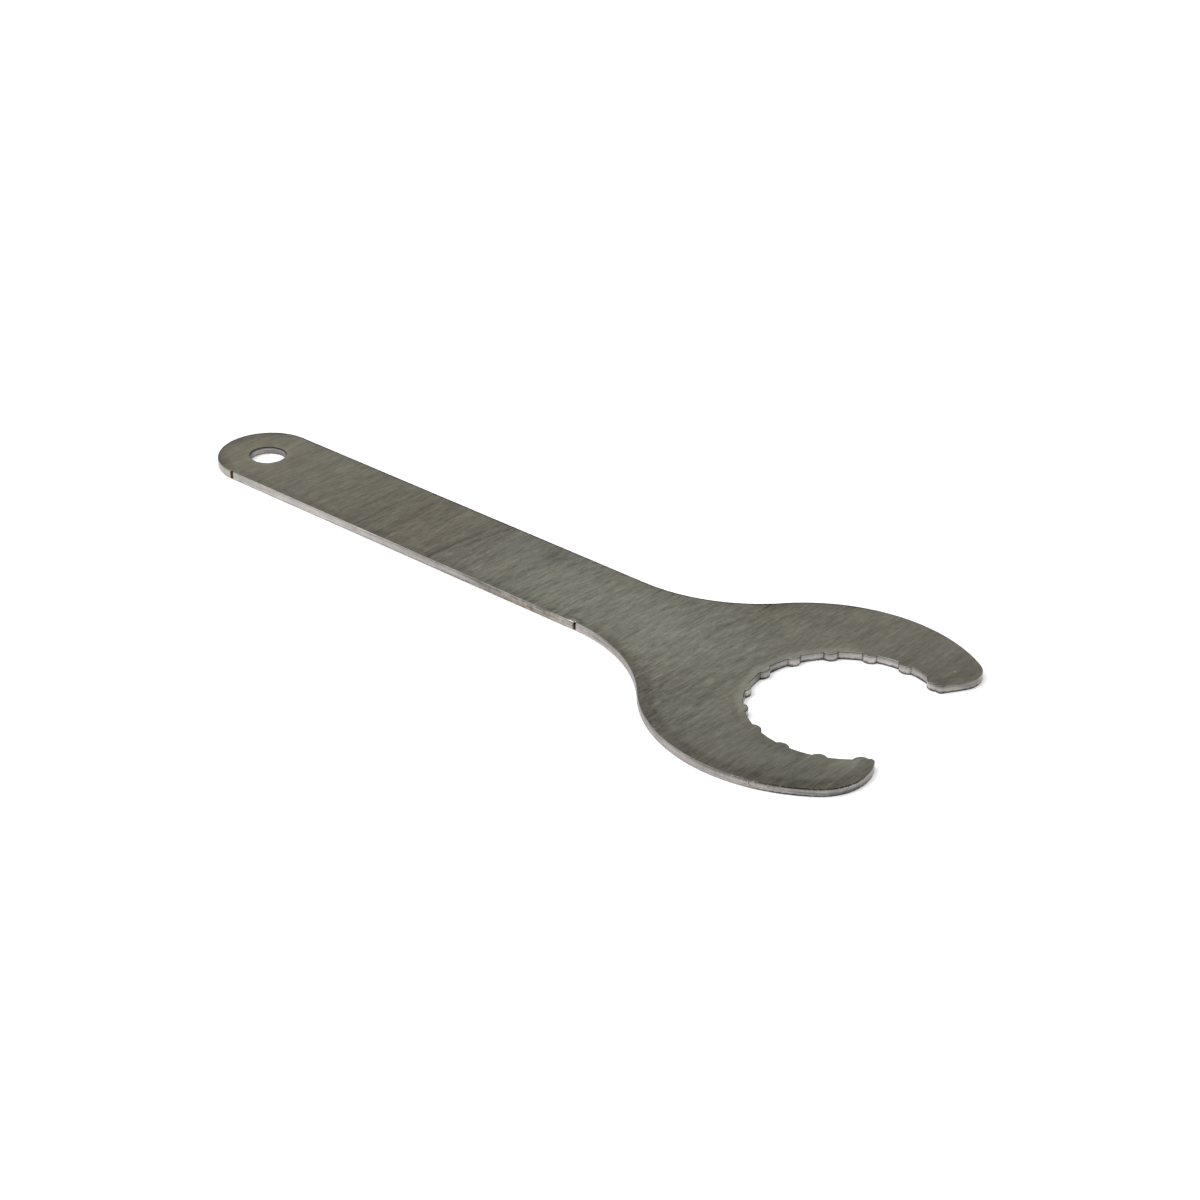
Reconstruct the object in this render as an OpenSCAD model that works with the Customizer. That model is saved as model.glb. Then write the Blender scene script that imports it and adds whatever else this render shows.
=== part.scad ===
// Flat plate spanner for the notched cups of a bicycle's bottom bracket.
// It is one piece, cut from steel sheet: an open jaw with half-round lugs,
// a round head, two wide fillets, and a straight handle with a hanging hole.
// The jaw's centre is the origin, the handle runs along -X, the mouth opens
// towards +X, and the underside lies on Z = 0.

/* [Plate] */
// Thickness of the sheet
plate_t = 2; // [1.2:0.1:6]

/* [Handle] */
// Width of the handle, which its round end follows
handle_w = 25; // [16:0.5:36]
// Jaw centre to hanging hole, which is also the centre of the round end
reach = 180.5; // [110:0.5:320]
// Diameter of the hanging hole
hang_hole_d = 9; // [3:0.5:14]
// Radius of the fillets that run from the handle's edges into the head
neck_r = 40; // [10:1:70]

/* [Head] */
// Diameter of the head's outer circle
head_d = 78.4; // [74:0.2:90]
// How far the head's centre lies behind the jaw's centre
head_back = 8.1; // [5:0.1:11]

/* [Jaw] */
// Diameter of the jaw between its lugs, which clears the outside of the cup
jaw_d = 44.4; // [40:0.1:48]
// Notches round the whole cup, which set the angle from lug to lug
cup_notches = 16; // [14:1:20]
// Lugs past the handle's axis on the longer arm, which ends in a full round
long_arm_lugs = 6; // [3:1:6]
// Lugs past the handle's axis on the shorter arm, which ends in a straight face
short_arm_lugs = 5; // [3:1:5]
// How far a lug stands into the jaw
lug_h = 0.95; // [0.5:0.05:1.4]
// Radius of a lug's round nose
lug_r = 2.05; // [1.5:0.05:2.3]

/* [Arm with the straight end] */
// Angle from its last lug to the direction of the end face
face_angle = 10; // [9:0.5:18]
// How far the end face is set back from the line through the jaw's centre
face_setback = 0.95; // [0:0.05:1.2]
// Radius of the outer corner
face_outer_r = 6.1; // [2:0.1:6.6]
// Radius of the inner corner
face_inner_r = 1.3; // [0.3:0.1:2]

/* [Arm with the round end] */
// Angle from its last lug back to the centre of the round, seen from the head's centre
round_angle = 7.4; // [3:0.1:12]
// Radius of the round
round_outer_r = 12.3; // [9:0.1:14]
// Radius of the inner corner
round_inner_r = 1; // [0.3:0.1:2]

/* [Cutting marks] */
// Radius of the small nicks that the cutting beam left where it started and stopped
nick_r = 0.25; // [0.1:0.05:0.5]

/* [Hidden] */
$fn = 180;

jaw_r = jaw_d / 2;
head_r = head_d / 2;
handle_half = handle_w / 2;
end_x = -reach;
head_c = [-head_back, 0];

// Lugs stand at the pitch of the cup's notches, with one on the handle's axis
handle_dir = 180;
pitch = 360 / cup_notches;
lug_c_r = jaw_r - lug_h + lug_r;

// Each neck fillet touches a straight edge of the handle and the head's circle
neck_y = handle_half + neck_r;
neck_x = head_c.x - sqrt(pow(head_r + neck_r, 2) - pow(neck_y, 2));

// The straight end face runs along face_dir, and face_out points into the mouth
face_dir_a = handle_dir - short_arm_lugs * pitch - face_angle;
face_dir = along(1, face_dir_a);
face_out = along(1, face_dir_a - 90);
face_outer_c = behind_face(head_c, head_r - face_outer_r, face_outer_r);
face_inner_c = behind_face([0, 0], jaw_r + face_inner_r, face_inner_r);

// The round end touches the head's circle from inside, and its inner corner
// touches the round from inside and the jaw's circle from outside
round_a = handle_dir + long_arm_lugs * pitch - round_angle;
round_outer_c = head_c + along(head_r - round_outer_r, round_a);
round_inner_c = circles_meet([0, 0], jaw_r + round_inner_r,
                             round_outer_c, round_outer_r - round_inner_r);

// A length that reaches past every edge of the head
past = 2 * head_r;

// Vector of length r in the direction of angle a
function along(r, a) = [r * cos(a), r * sin(a)];

// Direction of vector v, as an angle
function angle_of(v) = atan2(v.y, v.x);

// Centre of a rounding of radius r that touches the end face from behind and
// lies at distance d from point c
function behind_face(c, d, r) =
    let (start = -(face_setback + r) * face_out - c)
    let (b = face_dir * start)
    c + start + (sqrt(b * b - start * start + d * d) - b) * face_dir;

// Left-hand point, seen from p to q, at distance dp from p and dq from q
function circles_meet(p, dp, q, dq) =
    let (gap = norm(q - p), u = (q - p) / gap)
    let (on_line = (dp * dp - dq * dq + gap * gap) / (2 * gap))
    p + on_line * u + sqrt(dp * dp - on_line * on_line) * [-u.y, u.x];

// Straight handle with its round end
module handle_outline() {
    translate([end_x, -handle_half])
        square([neck_x - end_x, handle_w]);
    translate([end_x, 0])
        circle(r = handle_half);
}

// Neck between handle and head, hollowed by the two fillets
module neck_outline() {
    difference() {
        polygon([[neck_x, neck_y], [neck_x, -neck_y], head_c]);
        for (side = [-1, 1])
            translate([neck_x, side * neck_y])
                circle(r = neck_r);
    }
}

// Mouth of the jaw, cut along lines through the centres of the roundings
module mouth_outline() {
    face_outer_a = angle_of(face_outer_c - head_c);
    polygon([
        [0, 0],
        round_outer_c,
        head_c + along(past, round_a),
        head_c + along(past, (face_outer_a + round_a - 360) / 2),
        head_c + along(past, face_outer_a),
        face_outer_c,
        face_outer_c + face_outer_r * face_out,
        face_inner_c + face_inner_r * face_out,
        face_inner_c
    ]);
}

// Full round at the end of the longer arm, up to its inner corner
module round_end_outline() {
    inner_a = angle_of(round_inner_c - round_outer_c);
    outer_a = round_a - 360;
    intersection() {
        translate(round_outer_c)
            circle(r = round_outer_r);
        polygon([
            [0, 0],
            round_outer_c + along(past, outer_a - 45),
            round_outer_c + along(past, (inner_a + outer_a) / 2),
            round_outer_c + along(past, inner_a),
            round_inner_c
        ]);
    }
}

// Half-round lugs, one for each notch that the jaw covers
module lugs_outline() {
    for (i = [-short_arm_lugs : long_arm_lugs])
        translate(along(lug_c_r, handle_dir + i * pitch))
            circle(r = lug_r);
}

// Whole outline of the head, open at the mouth and without its neck
module head_outline() {
    difference() {
        union() {
            difference() {
                translate(head_c)
                    circle(r = head_r);
                mouth_outline();
            }
            translate(face_outer_c)
                circle(r = face_outer_r);
            round_end_outline();
        }
        circle(r = jaw_r);
    }
    translate(face_inner_c)
        circle(r = face_inner_r);
    translate(round_inner_c)
        circle(r = round_inner_r);
    lugs_outline();
}

// Places where the beam started and stopped, on the edge below the longer arm
module nicks_outline() {
    for (x = [end_x, neck_x])
        translate([x, -handle_half])
            circle(r = nick_r);
}

module plate_outline() {
    difference() {
        union() {
            difference() {
                union() {
                    handle_outline();
                    neck_outline();
                }
                circle(r = jaw_r);
            }
            head_outline();
        }
        translate([end_x, 0])
            circle(d = hang_hole_d);
        nicks_outline();
    }
}

module wrench_plate() {
    color([0.44, 0.43, 0.39])
        linear_extrude(height = plate_t)
            plate_outline();
}

wrench_plate();
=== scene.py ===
import bpy
import bmesh
import math
from mathutils import Matrix, Vector

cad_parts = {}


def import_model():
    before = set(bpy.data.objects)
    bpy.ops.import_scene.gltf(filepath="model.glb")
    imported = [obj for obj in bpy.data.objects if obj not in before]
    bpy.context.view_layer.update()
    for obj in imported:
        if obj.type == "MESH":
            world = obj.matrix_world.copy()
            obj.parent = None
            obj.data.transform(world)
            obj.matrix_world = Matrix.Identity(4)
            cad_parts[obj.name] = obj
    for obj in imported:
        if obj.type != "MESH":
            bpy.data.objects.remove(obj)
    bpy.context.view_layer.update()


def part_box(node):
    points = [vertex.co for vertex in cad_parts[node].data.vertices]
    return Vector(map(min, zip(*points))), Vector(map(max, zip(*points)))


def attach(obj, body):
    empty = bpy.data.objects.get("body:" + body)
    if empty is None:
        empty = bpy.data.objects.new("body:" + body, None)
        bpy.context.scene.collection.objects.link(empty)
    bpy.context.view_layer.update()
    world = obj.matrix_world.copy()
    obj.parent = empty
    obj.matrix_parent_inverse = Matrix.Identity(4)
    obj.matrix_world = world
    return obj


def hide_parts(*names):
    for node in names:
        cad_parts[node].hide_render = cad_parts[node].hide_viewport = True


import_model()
plateNode = "wrench_plate"
plateLow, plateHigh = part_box(plateNode)
mm = 0.001
white = (1, 1, 1, 1)

# Sizes of the plate's outline, in millimetres and degrees
plate = {
    "handleWidth": 25.0,
    "reach": 180.5,             # jaw centre to hanging hole
    "hangHole": 9.0,
    "neckRadius": 40.0,
    "headDiameter": 78.4,
    "headBack": 8.1,            # head centre behind the jaw's centre
    "jawDiameter": 44.4,        # between the lugs
    "cupNotches": 16,
    "longArmLugs": 6,
    "shortArmLugs": 5,
    "lugHeight": 0.95,
    "lugRadius": 2.05,
    "faceAngle": 10.0,          # straight end, from its last lug
    "faceSetback": 0.95,
    "faceOuterRadius": 6.1,
    "faceInnerRadius": 1.3,
    "roundAngle": 7.4,          # round end, from its last lug
    "roundOuterRadius": 12.3,
    "roundInnerRadius": 1.0,
    "nickRadius": 0.25,
    "pointSpacing": 0.16,       # along the outline
    "fineShare": 0.7,           # of that spacing, on the small arcs
    "cornerReach": 0.24,        # how far the painted shade in a lug's corner spreads
}

# Burr left on the upper edge of the longer arm, and the melted lip. In this dictionary and the next, the
# names that start with a capital are inputs of the node tree
burr = {
    "fromAngle": -72.0,         # directions from the head's centre
    "toAngle": -34.0,
    "fullAngle": -61.0,
    "rim": 6.0,                 # it lies no closer to the jaw's centre than the head's radius less this
    "Bead Size": 0.10 * mm,
    "Bead Seat": 0.04 * mm,     # in from the edge
    "Bead Drop": 0.15 * mm,     # down from the face
    "Bead Seed": 11,
    "beadRounding": 2,          # times its faces are split
    "beadTurn": (6.3, 6.3, 6.3),            # at most, in radians
    "beadSmallest": (0.5, 0.5, 0.5),        # times the size
    "beadLargest": (1.4, 1.1, 1.1),
    "meltPlace": (-67.9, -12.5),
    "meltReach": 2.2,
}

# The rounded edges and the cut wall, which the outline's points are swept up through
skin = {
    "Top Edge Radius": 0.16 * mm,
    "Bottom Edge Radius": 0.12 * mm,
    "Bottom Steps": 3,
    "Wall Steps": 5,
    "Top Steps": 5,
    "Melt Growth": 2.6,         # how many times wider the top edge is rounded where it melted
    "Ripple Depth": 0.018 * mm,
    "Ripple Length": 0.45 * mm,
    "Ripple Lag": 0.35,         # how far a ripple trails sideways over the wall's height
    "Seed": 4.0,
    "rippleHeight": 9.0,        # how many times taller than long a ripple is
    "rippleDetail": 3.0,
    "rippleRoughness": 0.6,
    "weld": 0.001 * mm,         # points closer than this are one
}


def along(radius, degrees):
    a = math.radians(degrees)
    return Vector((radius * math.cos(a), radius * math.sin(a)))


def angleOf(v):
    return math.degrees(math.atan2(v.y, v.x))


def circlesMeet(p, dp, q, dq):
    # left-hand point, seen from p to q, at distance dp from p and dq from q
    gap = (q - p).length
    u = (q - p) / gap
    onLine = (dp * dp - dq * dq + gap * gap) / (2 * gap)
    return p + onLine * u + math.sqrt(dp * dp - onLine * onLine) * Vector((-u.y, u.x))


def arc(centre, radius, start, end, spacing, fewest=4):
    # from angle start to angle end; an arc that turns clockwise is hollow, and its steel lies outside it
    steps = max(fewest, math.ceil(abs(math.radians(end - start)) * radius / spacing))
    side = 1 if end > start else -1
    turns = [start + (end - start) * i / steps for i in range(steps + 1)]
    return [(centre + along(radius, a), side * along(1, a)) for a in turns]


def straight(a, b, spacing):
    steps = max(1, math.ceil((b - a).length / spacing))
    t = (b - a).normalized()
    return [(a.lerp(b, i / steps), Vector((t.y, -t.x))) for i in range(steps + 1)]


def after(angle, start):
    # the same direction as angle, as the first value above start
    return start + (angle - start) % 360


def before(angle, start):
    # the same direction as angle, as the first value below start
    return start - (start - angle) % 360


def nick(centre, radius, spacing):
    # half-round, in an edge that runs along +X; its points all shrink straight in, so none of them cross
    return [(step[0], Vector((0, -1))) for step in arc(centre, radius, 180, 0, spacing)]


def plateOutline(p):
    # the outer edge of the steel as one counter-clockwise loop of (point, outward direction)
    gap = p["pointSpacing"]
    fine = gap * p["fineShare"]
    jaw = p["jawDiameter"] / 2
    head = p["headDiameter"] / 2
    half = p["handleWidth"] / 2
    neck = p["neckRadius"]
    origin = Vector((0, 0))
    headAt = Vector((-p["headBack"], 0))
    endAt = Vector((-p["reach"], 0))
    pitch = 360 / p["cupNotches"]

    # fillets between the handle's edges and the head
    neckY = half + neck
    neckX = headAt.x - math.sqrt((head + neck) ** 2 - neckY ** 2)
    nearNeck, farNeck = Vector((neckX, -neckY)), Vector((neckX, neckY))

    # round end of the longer arm and its inner corner
    roundR, cornerR = p["roundOuterRadius"], p["roundInnerRadius"]
    roundA = 180 + p["longArmLugs"] * pitch - p["roundAngle"] - 360
    roundAt = headAt + along(head - roundR, roundA)
    cornerAt = circlesMeet(origin, jaw + cornerR, roundAt, roundR - cornerR)

    # straight end of the shorter arm and its two corners
    faceA = 180 - p["shortArmLugs"] * pitch - p["faceAngle"]
    faceDir, faceOut = along(1, faceA), along(1, faceA - 90)
    outerR, innerR = p["faceOuterRadius"], p["faceInnerRadius"]

    def behindFace(c, d, r):
        start = -(p["faceSetback"] + r) * faceOut - c
        b = faceDir.dot(start)
        return c + start + (math.sqrt(b * b - start.dot(start) + d * d) - b) * faceDir

    outerAt = behindFace(headAt, head - outerR, outerR)
    innerAt = behindFace(origin, jaw + innerR, innerR)

    # round end of the handle, and the near edge with its two nicks
    nickR = p["nickRadius"]
    pieces = [arc(endAt, half, 90, 270 - math.degrees(nickR / half), gap)]
    pieces.append(nick(Vector((endAt.x, -half)), nickR, fine / 2))
    pieces.append(straight(Vector((endAt.x + nickR, -half)), Vector((neckX - nickR, -half)), gap))
    pieces.append(nick(Vector((neckX, -half)), nickR, fine / 2))
    touch = angleOf(headAt - nearNeck)
    pieces.append(arc(nearNeck, neck, 90 - math.degrees(nickR / neck), touch, gap))
    pieces.append(arc(headAt, head, touch - 180, roundA, gap))
    meet = angleOf(cornerAt - roundAt)
    pieces.append(arc(roundAt, roundR, roundA, after(meet, roundA), gap))
    inward = angleOf(-cornerAt)
    pieces.append(arc(cornerAt, cornerR, meet, after(inward, meet), fine))

    # the jaw's lugs and the hollows between them, clockwise
    lugAt = jaw - p["lugHeight"] + p["lugRadius"]
    lugR = p["lugRadius"]
    halfWidth = math.degrees(math.acos((lugAt ** 2 + jaw ** 2 - lugR ** 2) / (2 * lugAt * jaw)))
    nose = math.degrees(math.acos((lugAt ** 2 + lugR ** 2 - jaw ** 2) / (2 * lugAt * lugR)))
    at = angleOf(cornerAt)
    for i in range(p["longArmLugs"], -p["shortArmLugs"] - 1, -1):
        lug = before(180 + i * pitch, at)
        pieces.append(arc(origin, jaw, at, lug + halfWidth, gap))
        pieces.append(arc(along(lugAt, lug), lugR, lug + 180 - nose, lug + 180 + nose, fine))
        at = lug - halfWidth
    pieces.append(arc(origin, jaw, at, before(angleOf(innerAt), at), fine))

    inward = angleOf(-innerAt)
    pieces.append(arc(innerAt, innerR, inward, after(faceA - 90, inward), fine))
    pieces.append(straight(innerAt + innerR * faceOut, outerAt + outerR * faceOut, gap))
    touchOuter = angleOf(outerAt - headAt)
    pieces.append(arc(outerAt, outerR, faceA - 90, after(touchOuter, faceA - 90), gap))
    touchFar = angleOf(farNeck - headAt)
    pieces.append(arc(headAt, head, touchOuter, after(touchFar, touchOuter), gap))
    pieces.append(arc(farNeck, neck, touchFar - 180, -90, gap))
    pieces.append(straight(Vector((neckX, half)), Vector((endAt.x, half)), gap))
    return pieces


def holeOutline(p):
    return [arc(Vector((-p["reach"], 0)), p["hangHole"] / 2, 360, 0, p["pointSpacing"])]


def joinPieces(pieces, tolerance=0.004, sharpCosine=0.9):
    # one loop, and its corners: where two arcs meet at a corner, the corner point leans into both of them
    loop, corners = [], []
    for piece in pieces:
        for point, outward in piece:
            if loop and (point - loop[-1][0]).length < tolerance:
                if loop[-1][1].dot(outward) < sharpCosine:
                    corners.append(point)
                loop[-1] = (loop[-1][0], mitre(loop[-1][1], outward))
            else:
                loop.append((point, outward))
    if (loop[0][0] - loop[-1][0]).length < tolerance:
        loop[0] = (loop[0][0], mitre(loop[0][1], loop[-1][1]))
        loop.pop()
    return loop, corners


def mitre(a, b, bluntest=0.25):
    m = (a + b) / 2
    return m / max(m.length_squared, bluntest)


def outlineMesh(name, loops, corners):
    # edges only; each point also knows its outward direction, its distance along the edge, how close it is
    # to a lug's corner, how much burr hangs on it, and how far the top edge melted
    points, edges, outward = [], [], []
    values = {"distance": [], "corner": [], "burr": [], "melt": []}
    for loop in loops:
        first = len(points)
        run = 0.0
        for i, (point, out) in enumerate(loop):
            points.append((point.x * mm, point.y * mm, 0.0))
            outward.append((out.x, out.y, 0.0))
            values["distance"].append(run * mm)
            nearest = min((point - c).length for c in corners)
            values["corner"].append(max(0.0, 1.0 - nearest / plate["cornerReach"]))
            values["burr"].append(burrAt(point))
            values["melt"].append(meltAt(point))
            following = (i + 1) % len(loop)
            run += (loop[following][0] - point).length
            edges.append((first + i, first + following))
    mesh = bpy.data.meshes.new(name)
    mesh.from_pydata(points, edges, [])
    arrows = mesh.attributes.new("outward", "FLOAT_VECTOR", "POINT")
    arrows.data.foreach_set("vector", [c for v in outward for c in v])
    for key, numbers in values.items():
        mesh.attributes.new(key, "FLOAT", "POINT").data.foreach_set("value", numbers)
    return mesh


class Tree:
    # a thin helper that adds nodes and links them in one call
    def __init__(self, tree):
        self.tree = tree

    def add(self, kind, inputs=None, **settings):
        node = self.tree.nodes.new(kind)
        for key, value in settings.items():
            setattr(node, key, value)
        for key, value in (inputs or {}).items():
            self.feed(node, key, value)
        return node

    def feed(self, node, key, value):
        socket = node.inputs[key]
        if isinstance(value, bpy.types.NodeSocket):
            self.tree.links.new(value, socket)
        elif isinstance(value, bpy.types.Node):
            self.tree.links.new(value.outputs[0], socket)
        else:
            socket.default_value = value

    def math(self, operation, *values):
        return self.add("ShaderNodeMath", dict(enumerate(values)), operation=operation).outputs[0]

    def chain(self, operation, result, *others):
        for other in others:
            result = self.math(operation, result, other)
        return result

    def plus(self, *values):
        return self.chain("ADD", *values)

    def minus(self, a, b):
        return self.math("SUBTRACT", a, b)

    def times(self, *values):
        return self.chain("MULTIPLY", *values)

    def largest(self, *values):
        return self.chain("MAXIMUM", *values)

    def ease(self, value, start, end, atStart=0.0, atEnd=1.0):
        # a smooth step from one value to the other
        limits = {"From Min": start, "From Max": end, "To Min": atStart, "To Max": atEnd}
        node = self.add("ShaderNodeMapRange", {"Value": value, **limits}, interpolation_type="SMOOTHSTEP")
        return node.outputs[0]

    def vector(self, operation, *values):
        return self.add("ShaderNodeVectorMath", dict(enumerate(values)), operation=operation)

    def scaled(self, vector, factor):
        return self.add("ShaderNodeVectorMath", {0: vector, "Scale": factor}, operation="SCALE")

    def noise(self, at, detail, roughness=0.5, scale=1.0):
        inputs = {"Vector": at, "Scale": scale, "Detail": detail, "Roughness": roughness}
        return self.add("ShaderNodeTexNoise", inputs).outputs[0]

    def mix(self, share, a, b):
        # from colour a to colour b
        return self.add("ShaderNodeMix", {"Factor": share, 6: a, 7: b}, data_type="RGBA").outputs[2]

    def bump(self, strength, distance, height):
        return self.add("ShaderNodeBump", {"Strength": strength, "Distance": distance, "Height": height})

    def attribute(self, name, kind="FLOAT"):
        return self.add("GeometryNodeInputNamedAttribute", {"Name": name}, data_type=kind).outputs[0]

    def store(self, geometry, name, value, kind, domain):
        inputs = {"Geometry": geometry, "Name": name, "Value": value}
        return self.add("GeometryNodeStoreNamedAttribute", inputs, data_type=kind, domain=domain).outputs[0]


def skinTree():
    group = bpy.data.node_groups.new("Plate Skin", "GeometryNodeTree")
    group.is_modifier = True
    sockets = group.interface
    sockets.new_socket("Geometry", in_out="INPUT", socket_type="NodeSocketGeometry")
    sockets.new_socket("Thickness", in_out="INPUT", socket_type="NodeSocketFloat")
    for name, value in {**skin, **burr}.items():
        kind = "NodeSocketInt" if isinstance(value, int) else "NodeSocketFloat"
        if name[0].isupper():
            sockets.new_socket(name, in_out="INPUT", socket_type=kind)
    for name in ("Face Steel", "Edge Steel", "Burr Steel"):
        sockets.new_socket(name, in_out="INPUT", socket_type="NodeSocketMaterial")
    sockets.new_socket("Geometry", in_out="OUTPUT", socket_type="NodeSocketGeometry")

    t = Tree(group)
    given = t.add("NodeGroupInput").outputs
    outward = t.attribute("outward", "FLOAT_VECTOR")
    distance = t.attribute("distance")

    steps = t.plus(given["Bottom Steps"], given["Wall Steps"], given["Top Steps"])
    quarter = math.pi / 2
    growth = t.plus(t.times(t.attribute("melt"), given["Melt Growth"]), 1.0)
    roundTop, roundBottom = t.times(given["Top Edge Radius"], growth), given["Bottom Edge Radius"]
    flat = t.minus(t.minus(given["Thickness"], roundTop), roundBottom)

    def share(value, whole):
        node = t.add("ShaderNodeMath", {0: value, 1: whole}, operation="DIVIDE", use_clamp=True)
        return node.outputs[0]

    def placeRow(geometry, row, selection):
        # moves the selected loop to its row of the edge profile
        overBottom = t.minus(row, given["Bottom Steps"])
        overWall = t.minus(overBottom, given["Wall Steps"])
        low = t.times(share(row, given["Bottom Steps"]), quarter)
        middle = share(overBottom, given["Wall Steps"])
        high = t.times(share(overWall, given["Top Steps"]), quarter)
        insetLow = t.times(roundBottom, t.minus(1.0, t.math("SINE", low)))
        insetHigh = t.times(roundTop, t.minus(1.0, t.math("COSINE", high)))
        zLow = t.times(roundBottom, t.minus(1.0, t.math("COSINE", low)))
        zHigh = t.times(roundTop, t.math("SINE", high))
        z = t.plus(zLow, zHigh, t.times(middle, flat))
        # ripples of the cut: they follow the outline, trail back towards the top and fade at both edges
        trailing = t.plus(distance, t.times(z, given["Ripple Lag"]))
        alongEdge = t.math("DIVIDE", trailing, given["Ripple Length"])
        upWall = t.math("DIVIDE", z, t.times(given["Ripple Length"], skin["rippleHeight"]))
        at = t.add("ShaderNodeCombineXYZ", {"X": alongEdge, "Y": upWall, "Z": given["Seed"]})
        noise = t.noise(at, skin["rippleDetail"], skin["rippleRoughness"])
        fade = t.math("SINE", t.times(share(row, steps), math.pi))
        inset = t.plus(insetLow, insetHigh, t.times(noise, given["Ripple Depth"], fade))
        shift = t.scaled(outward, t.times(inset, -1.0))
        moved = t.vector("ADD", t.attribute("base", "FLOAT_VECTOR"), shift)
        moved = t.vector("ADD", moved, t.add("ShaderNodeCombineXYZ", {"Z": z}))
        placed = {"Geometry": geometry, "Selection": selection, "Position": moved}
        return t.add("GeometryNodeSetPosition", placed).outputs[0]

    here = t.add("GeometryNodeInputPosition").outputs[0]
    start = t.store(given["Geometry"], "base", here, "FLOAT_VECTOR", "POINT")
    start = t.store(start, "front", True, "BOOLEAN", "EDGE")
    bottomLoop = placeRow(start, 0.0, True)

    # each turn of the zone pulls the loop one row up the profile
    zoneIn = t.add("GeometryNodeRepeatInput")
    zoneOut = t.add("GeometryNodeRepeatOutput")
    zoneIn.pair_with_output(zoneOut)
    zoneOut.repeat_items.new("FLOAT", "Row")
    t.feed(zoneIn, "Iterations", steps)
    t.feed(zoneIn, "Geometry", bottomLoop)
    t.feed(zoneIn, "Row", 0.0)
    row = t.plus(zoneIn.outputs["Row"], 1.0)
    pull = {"Mesh": zoneIn.outputs["Geometry"], "Selection": t.attribute("front", "BOOLEAN"),
            "Offset Scale": 0.0}
    pulled = t.add("GeometryNodeExtrudeMesh", pull, mode="EDGES").outputs
    marked = t.store(pulled["Mesh"], "front", pulled["Top"], "BOOLEAN", "EDGE")
    t.feed(zoneOut, "Geometry", placeRow(marked, row, t.attribute("front", "BOOLEAN")))
    t.feed(zoneOut, "Row", row)
    wall = zoneOut.outputs["Geometry"]

    def cap(geometry, selection, height):
        # fills the loop, round the hanging hole
        curve = t.add("GeometryNodeMeshToCurve", {"Mesh": geometry, "Selection": selection})
        filled = t.add("GeometryNodeFillCurve", {"Curve": curve})
        lift = t.add("ShaderNodeCombineXYZ", {"Z": height})
        return t.add("GeometryNodeSetPosition", {"Geometry": filled, "Offset": lift})

    def joined(*parts):
        node = t.add("GeometryNodeJoinGeometry")
        for part in parts:
            t.feed(node, "Geometry", part)
        return node

    caps = joined(cap(wall, t.attribute("front", "BOOLEAN"), given["Thickness"]), cap(bottomLoop, True, 0.0))
    caps = t.store(caps, "isFace", True, "BOOLEAN", "FACE")
    caps = t.add("GeometryNodeSetShadeSmooth", {"Geometry": caps, "Shade Smooth": False})
    wall = t.add("GeometryNodeSetShadeSmooth", {"Geometry": wall, "Shade Smooth": True})
    whole = t.add("GeometryNodeMergeByDistance", {"Geometry": joined(caps, wall), "Distance": skin["weld"]})

    # beads of burr, thrown at random along the marked stretch of the upper edge
    def anyVector(low, high, seedShift):
        limits = {0: low, 1: high, "Seed": t.plus(given["Bead Seed"], seedShift)}
        return t.add("FunctionNodeRandomValue", limits, data_type="FLOAT_VECTOR").outputs[0]

    chance = t.add("FunctionNodeRandomValue", {"Seed": given["Bead Seed"]}, data_type="FLOAT").outputs[1]
    chosen = t.math("LESS_THAN", chance, t.attribute("burr"))
    seats = t.add("GeometryNodeMeshToPoints", {"Mesh": given["Geometry"], "Selection": chosen})
    inward = t.scaled(outward, t.times(given["Bead Seat"], -1.0))
    up = t.add("ShaderNodeCombineXYZ", {"Z": t.minus(given["Thickness"], given["Bead Drop"])})
    seats = t.add("GeometryNodeSetPosition", {"Geometry": seats, "Offset": t.vector("ADD", inward, up)})
    bead = t.add("GeometryNodeMeshIcoSphere", {"Radius": given["Bead Size"],
                                                 "Subdivisions": burr["beadRounding"]})
    bead = t.store(bead, "isBurr", True, "BOOLEAN", "FACE")
    spread = {"Points": seats, "Instance": bead, "Rotation": anyVector((0, 0, 0), burr["beadTurn"], 1.0),
              "Scale": anyVector(burr["beadSmallest"], burr["beadLargest"], 2.0)}
    beads = t.add("GeometryNodeInstanceOnPoints", spread)
    whole = t.add("GeometryNodeRealizeInstances", {"Geometry": joined(whole, beads)})
    whole = t.add("GeometryNodeSetMaterial", {"Geometry": whole, "Material": given["Edge Steel"]})
    for name, steel in (("isFace", "Face Steel"), ("isBurr", "Burr Steel")):
        faced = {"Geometry": whole, "Selection": t.attribute(name, "BOOLEAN"), "Material": given[steel]}
        whole = t.add("GeometryNodeSetMaterial", faced)
    t.add("NodeGroupOutput", {"Geometry": whole})
    return group


def setInputs(modifier, values):
    # a modifier's inputs go by identifier, so each name is looked up first
    for item in modifier.node_group.interface.items_tree:
        if item.item_type == "SOCKET" and item.in_out == "INPUT" and item.name in values:
            modifier[item.identifier] = values[item.name]


def burrAt(point):
    # 0 off the burr, rising to 1 where it is thickest
    direction = angleOf(point + Vector((plate["headBack"], 0)))
    onRim = point.length >= plate["headDiameter"] / 2 - burr["rim"]
    if not (onRim and burr["fromAngle"] < direction < burr["toAngle"]):
        return 0.0
    if direction < burr["fullAngle"]:
        return (direction - burr["fromAngle"]) / (burr["fullAngle"] - burr["fromAngle"])
    return (burr["toAngle"] - direction) / (burr["toAngle"] - burr["fullAngle"])


def meltAt(point):
    # 1 at the nick by the neck, easing to 0 along the edge on both sides
    off = (point - Vector(burr["meltPlace"])).length / burr["meltReach"]
    return 0.0 if off > 1 else (1 - off * off) ** 2


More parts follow.
